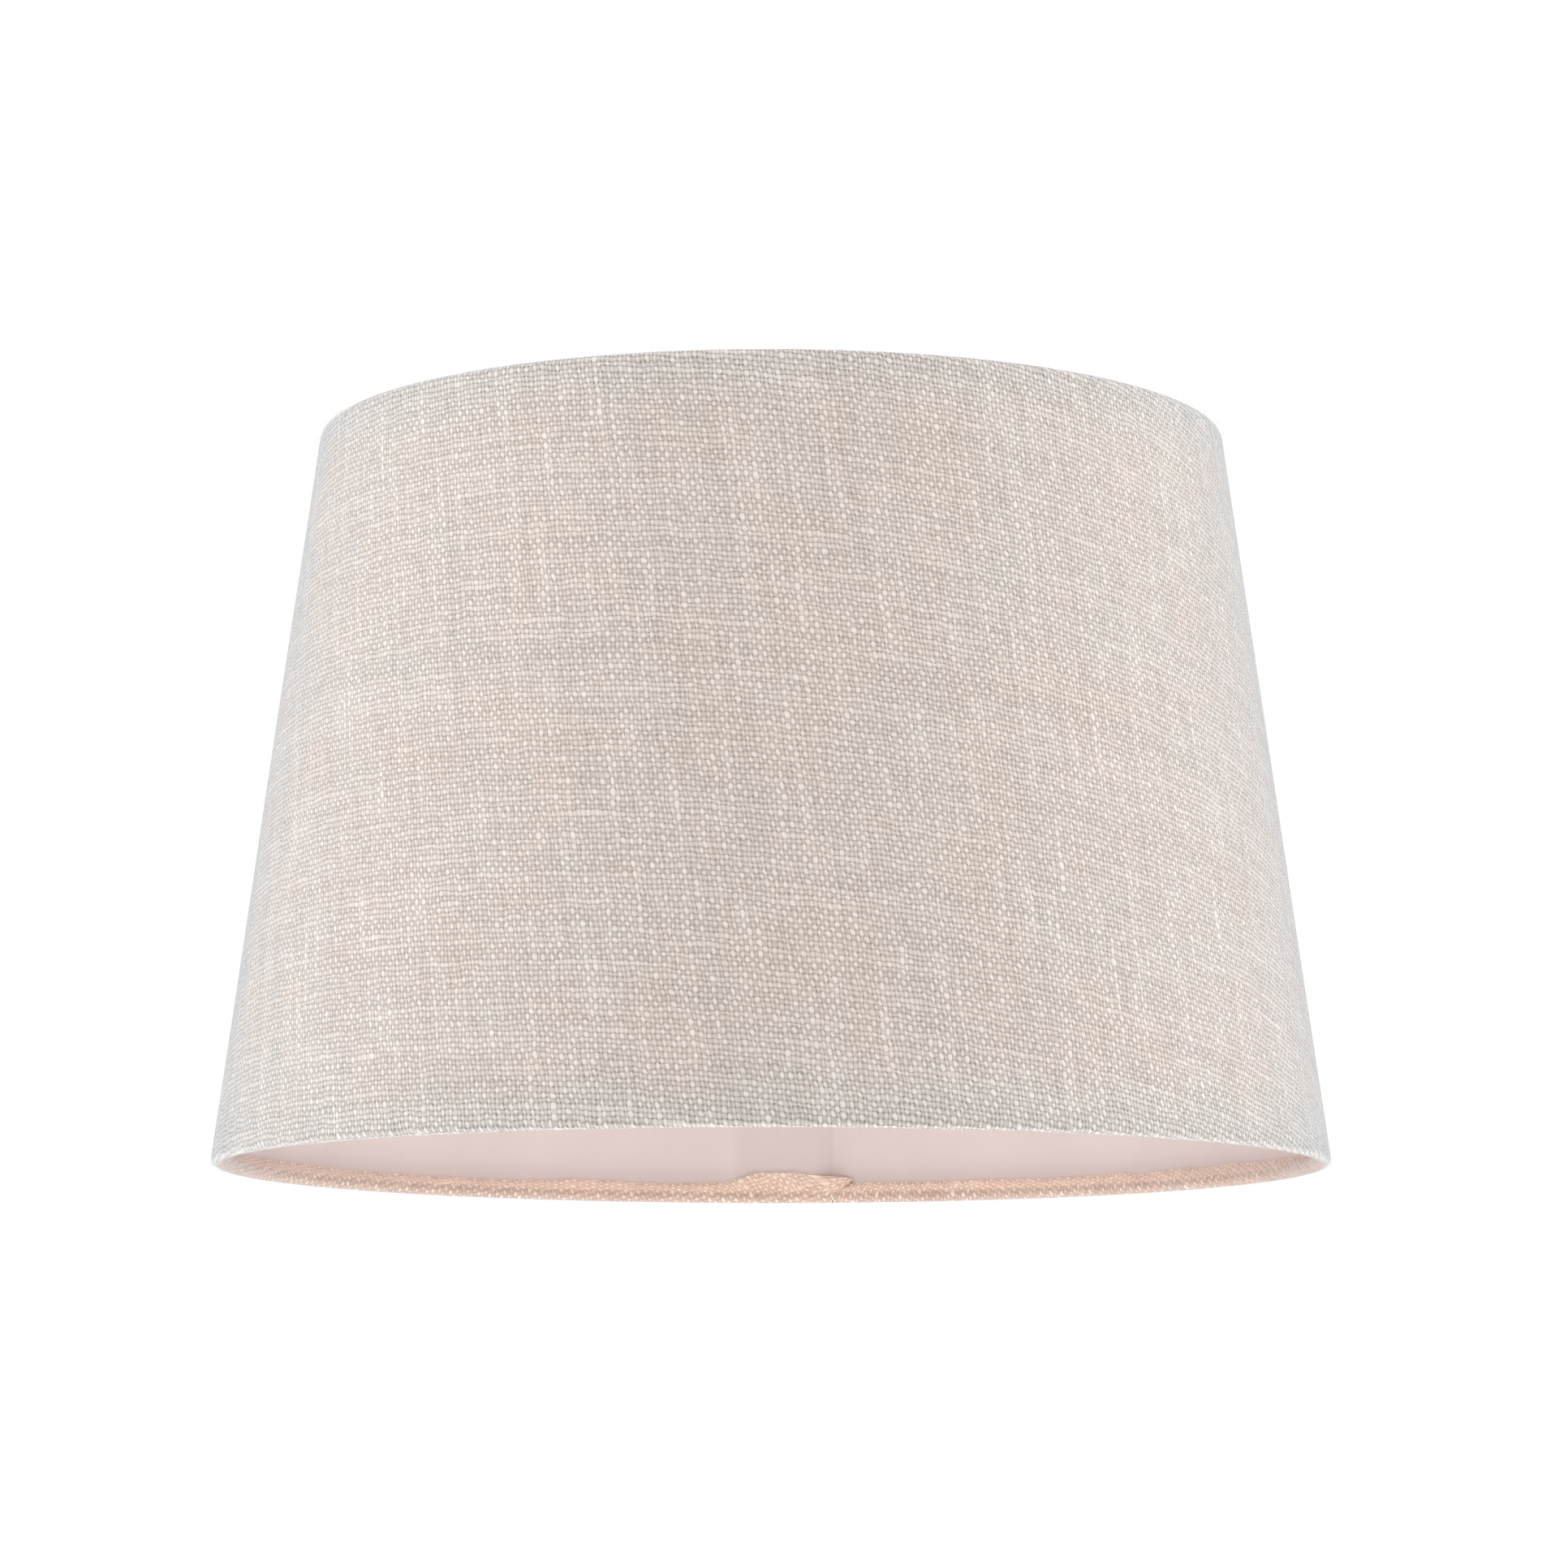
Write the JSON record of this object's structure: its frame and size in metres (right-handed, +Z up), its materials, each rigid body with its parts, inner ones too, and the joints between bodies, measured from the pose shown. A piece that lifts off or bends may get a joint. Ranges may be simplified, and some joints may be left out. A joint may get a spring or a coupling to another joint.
{
  "type": "lamp shade",
  "caption": "Tapered drum lamp shade of woven cloth on a stiff liner, with turned hems, a back lap and a reversible gimbal fitter.",
  "frame": {"origin": "centre of the bottom rim, on the plane that the shade stands on", "axes": "+Z up along the shade's axis; +X towards one gimbal pivot; +Y towards the back, where the strip laps"},
  "size_m": [0.3546, 0.3559, 0.235],
  "materials": {
    "linen_cloth": "plain-woven slub cloth, matt",
    "liner_plastic": "smooth translucent laminate, satin",
    "adhesive_tape": "clear double-sided tape",
    "coated_wire": "white powder coat, satin",
    "plated_rivet": "zinc plated",
    "reducer_plastic": "moulded white plastic, satin"
  },
  "bodies": {
    "shade": {"fabric_cover": "linen_cloth", "liner_panel": "liner_plastic", "seam_tape": "adhesive_tape", "top_ring": "coated_wire", "bottom_ring": "coated_wire", "hanger_left": "coated_wire", "hanger_right": "coated_wire", "pivot_rivet_left": "plated_rivet", "pivot_rivet_right": "plated_rivet", "friction_washer_left": "plated_rivet", "friction_washer_right": "plated_rivet"},
    "gimbal": {"yoke_left": "coated_wire", "yoke_right": "coated_wire", "fitter_ring": "coated_wire"},
    "reducer": {"reducer_ring": "reducer_plastic"}
  },
  "joints": [
    {"name": "gimbal_turn", "type": "hinge", "parent": "shade", "child": "gimbal", "pos_m": [0, 0, 0.15], "axis": [1, 0, 0], "continuous": true},
    {"name": "reducer_lift", "type": "slide", "parent": "gimbal", "child": "reducer", "axis": [0, 0, 1], "range_m": [0, 0.14]}
  ]
}
